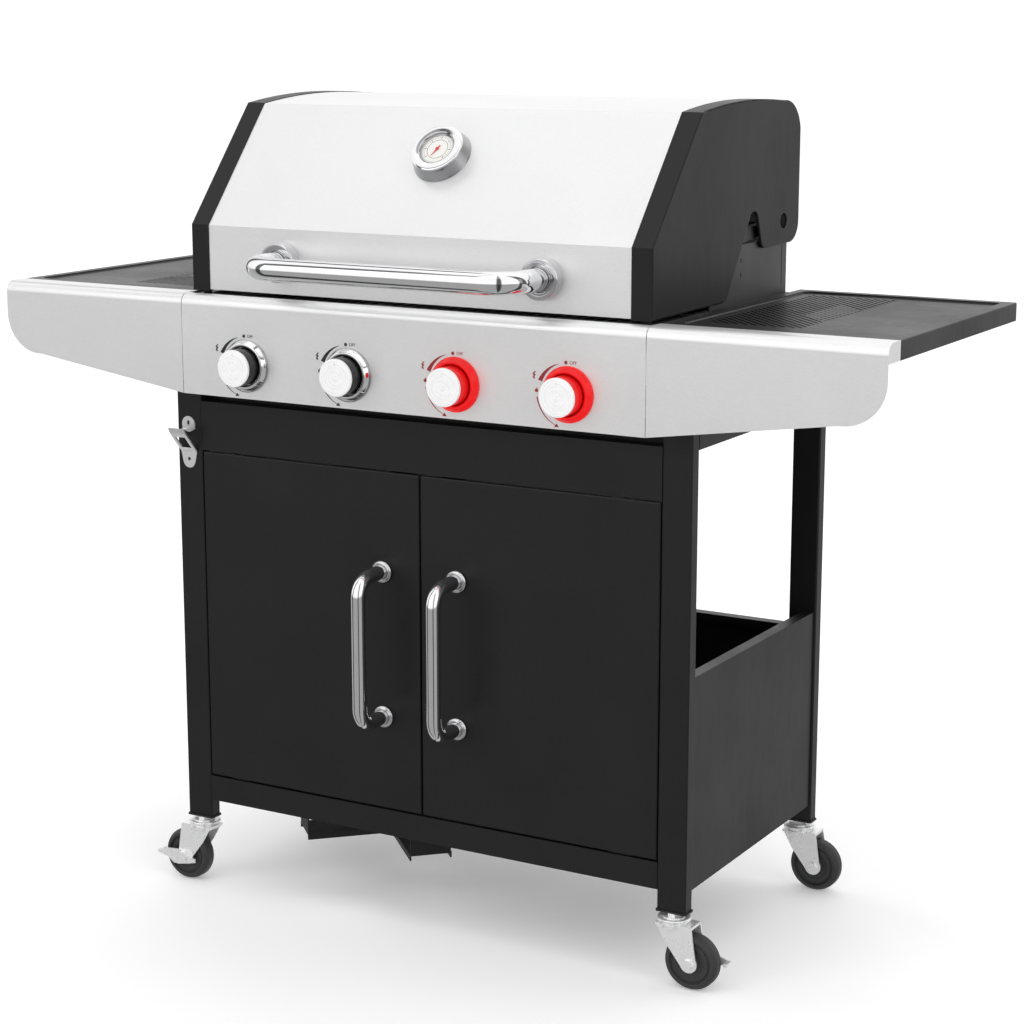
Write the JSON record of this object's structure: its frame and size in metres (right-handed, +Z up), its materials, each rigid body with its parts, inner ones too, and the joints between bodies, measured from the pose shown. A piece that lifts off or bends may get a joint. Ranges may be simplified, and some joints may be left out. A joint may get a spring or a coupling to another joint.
{
  "type": "gas barbecue grill",
  "caption": "Gas barbecue on a wheeled two-door cabinet, with a hinged steel lid, dial thermometer, knob panel and a folded side shelf at each end.",
  "frame": {"origin": "on the floor, under the middle of the whole object's bounding box", "axes": "+X to the right of a person facing the knobs, +Y away from that person, +Z up"},
  "size_m": [1.335, 0.5654, 1.1302],
  "materials": {
    "black_powder_coat": "fine textured satin powder coat",
    "firebox_black": "heat-resistant matt enamel",
    "lid_cap_black": "satin black enamel on cast aluminium",
    "black_plastic": "moulded, slightly rough",
    "brushed_steel": "fine brushing along X",
    "burner_steel": "stamped stainless, unpolished",
    "chrome": "bright plated",
    "zinc_plate": "bright zinc plate",
    "aluminium": "cast, unpainted",
    "brass": "turned",
    "cast_iron": "matt enamelled casting",
    "red_gloss": "bright gloss",
    "black_gloss": "gloss, with a spun metal face",
    "rubber": "moulded",
    "wheel_rubber": "hard moulded tread",
    "needle_red": "gloss paint"
  },
  "bodies": {
    "cart": {"back_panel": "black_powder_coat", "bezels_left_pair": "chrome", "bezels_right_pair": "red_gloss", "bottle_cradle": "black_powder_coat", "bottle_opener": "zinc_plate", "bottom_rail": "black_powder_coat", "burners": "burner_steel", "caster_stems": "zinc_plate", "control_panel": "brushed_steel", "cooking_grates": "cast_iron", "firebox": "firebox_black", "flame_tamers": "burner_steel", "floor_panel": "black_powder_coat", "gas_manifold": "aluminium", "header_fascia": "black_powder_coat", "hinge_bolts": "black_powder_coat", "leg_end_caps": "black_plastic", "leg_front_left": "black_powder_coat", "leg_front_right": "black_powder_coat", "leg_rear_left": "black_powder_coat", "leg_rear_right": "black_powder_coat", "shelf_brackets": "black_powder_coat", "shelf_front_left": "brushed_steel", "shelf_front_right": "brushed_steel", "shelf_plate_left": "black_powder_coat", "shelf_plate_right": "black_powder_coat", "side_panel_left": "black_powder_coat", "side_panel_right": "black_powder_coat", "top_rails": "black_powder_coat", "warming_rack": "chrome"},
    "lid": {"lid_skin": "brushed_steel", "lid_end_left": "lid_cap_black", "lid_end_right": "lid_cap_black", "lid_handle": "chrome", "lid_bumpers": "rubber", "thermometer_case": "chrome"},
    "needle": {"thermometer_needle": "needle_red"},
    "left_door": {"door_left": "black_powder_coat", "door_handle_left": "chrome"},
    "right_door": {"door_right": "black_powder_coat", "door_handle_right": "chrome"},
    "tray": {"grease_tray": "zinc_plate"},
    "stem_1": {"valve_stem_1": "brass"},
    "control_1": {"knob_1": "black_gloss"},
    "stem_2": {"valve_stem_2": "brass"},
    "control_2": {"knob_2": "black_gloss"},
    "stem_3": {"valve_stem_3": "brass"},
    "control_3": {"knob_3": "red_gloss"},
    "stem_4": {"valve_stem_4": "brass"},
    "control_4": {"knob_4": "red_gloss"},
    "swivel_front_left": {"caster_fork_front_left": "zinc_plate"},
    "roller_front_left": {"wheel_front_left": "wheel_rubber"},
    "swivel_front_right": {"caster_fork_front_right": "zinc_plate"},
    "roller_front_right": {"wheel_front_right": "wheel_rubber"},
    "swivel_rear_left": {"caster_fork_rear_left": "zinc_plate"},
    "roller_rear_left": {"wheel_rear_left": "wheel_rubber"},
    "swivel_rear_right": {"caster_fork_rear_right": "zinc_plate"},
    "roller_rear_right": {"wheel_rear_right": "wheel_rubber"},
    "brake_front_left": {"brake_lever_front_left": "zinc_plate"},
    "brake_front_right": {"brake_lever_front_right": "zinc_plate"}
  },
  "joints": [
    {"name": "lid_hinge", "type": "hinge", "parent": "cart", "child": "lid", "pos_m": [0, 0.21555, 0.9646], "axis": [-1, 0, 0], "range_deg": [0, 90]},
    {"name": "temperature", "type": "hinge", "parent": "lid", "child": "needle", "pos_m": [0, -0.11072, 1.0674], "axis": [0, 0.7613, -0.6484], "range_deg": [0, 270]},
    {"name": "left_door_hinge", "type": "hinge", "parent": "cart", "child": "left_door", "pos_m": [-0.304, -0.15275, 0.404], "axis": [0, 0, -1], "range_deg": [0, 110]},
    {"name": "right_door_hinge", "type": "hinge", "parent": "cart", "child": "right_door", "pos_m": [0.304, -0.15275, 0.404], "axis": [0, 0, 1], "range_deg": [0, 110]},
    {"name": "tray_slide", "type": "slide", "parent": "cart", "child": "tray", "axis": [0, 1, 0], "range_m": [0, 0.33]},
    {"name": "push_1", "type": "slide", "parent": "cart", "child": "stem_1", "axis": [0, 1, 0], "range_m": [0, 0.003], "stiffness_N_per_m": 900},
    {"name": "turn_1", "type": "hinge", "parent": "stem_1", "child": "control_1", "pos_m": [-0.2472, -0.22075, 0.7749], "axis": [0, -1, 0], "range_deg": [0, 165]},
    {"name": "push_2", "type": "slide", "parent": "cart", "child": "stem_2", "axis": [0, 1, 0], "range_m": [0, 0.003], "stiffness_N_per_m": 900},
    {"name": "turn_2", "type": "hinge", "parent": "stem_2", "child": "control_2", "pos_m": [-0.0824, -0.22075, 0.7749], "axis": [0, -1, 0], "range_deg": [0, 165]},
    {"name": "push_3", "type": "slide", "parent": "cart", "child": "stem_3", "axis": [0, 1, 0], "range_m": [0, 0.003], "stiffness_N_per_m": 900},
    {"name": "turn_3", "type": "hinge", "parent": "stem_3", "child": "control_3", "pos_m": [0.0824, -0.22075, 0.7749], "axis": [0, -1, 0], "range_deg": [0, 165]},
    {"name": "push_4", "type": "slide", "parent": "cart", "child": "stem_4", "axis": [0, 1, 0], "range_m": [0, 0.003], "stiffness_N_per_m": 900},
    {"name": "turn_4", "type": "hinge", "parent": "stem_4", "child": "control_4", "pos_m": [0.2472, -0.22075, 0.7749], "axis": [0, -1, 0], "range_deg": [0, 165]},
    {"name": "swivel_front_left", "type": "hinge", "parent": "cart", "child": "swivel_front_left", "pos_m": [-0.37925, -0.15175, 0.088], "axis": [0, 0, 1], "continuous": true},
    {"name": "roll_front_left", "type": "hinge", "parent": "swivel_front_left", "child": "roller_front_left", "pos_m": [-0.40725, -0.15175, 0.0375], "axis": [0, 1, 0], "continuous": true},
    {"name": "brake_front_left", "type": "hinge", "parent": "swivel_front_left", "child": "brake_front_left", "pos_m": [-0.40725, -0.15175, 0.0375], "axis": [0, -1, 0], "range_deg": [0, 15]},
    {"name": "swivel_front_right", "type": "hinge", "parent": "cart", "child": "swivel_front_right", "pos_m": [0.37925, -0.15175, 0.088], "axis": [0, 0, 1], "continuous": true},
    {"name": "roll_front_right", "type": "hinge", "parent": "swivel_front_right", "child": "roller_front_right", "pos_m": [0.40725, -0.15175, 0.0375], "axis": [0, 1, 0], "continuous": true},
    {"name": "brake_front_right", "type": "hinge", "parent": "swivel_front_right", "child": "brake_front_right", "pos_m": [0.40725, -0.15175, 0.0375], "axis": [0, 1, 0], "range_deg": [0, 15]},
    {"name": "swivel_rear_left", "type": "hinge", "parent": "cart", "child": "swivel_rear_left", "pos_m": [-0.37925, 0.26025, 0.088], "axis": [0, 0, 1], "continuous": true},
    {"name": "roll_rear_left", "type": "hinge", "parent": "swivel_rear_left", "child": "roller_rear_left", "pos_m": [-0.40725, 0.26025, 0.0375], "axis": [0, 1, 0], "continuous": true},
    {"name": "swivel_rear_right", "type": "hinge", "parent": "cart", "child": "swivel_rear_right", "pos_m": [0.37925, 0.26025, 0.088], "axis": [0, 0, 1], "continuous": true},
    {"name": "roll_rear_right", "type": "hinge", "parent": "swivel_rear_right", "child": "roller_rear_right", "pos_m": [0.40725, 0.26025, 0.0375], "axis": [0, 1, 0], "continuous": true}
  ]
}
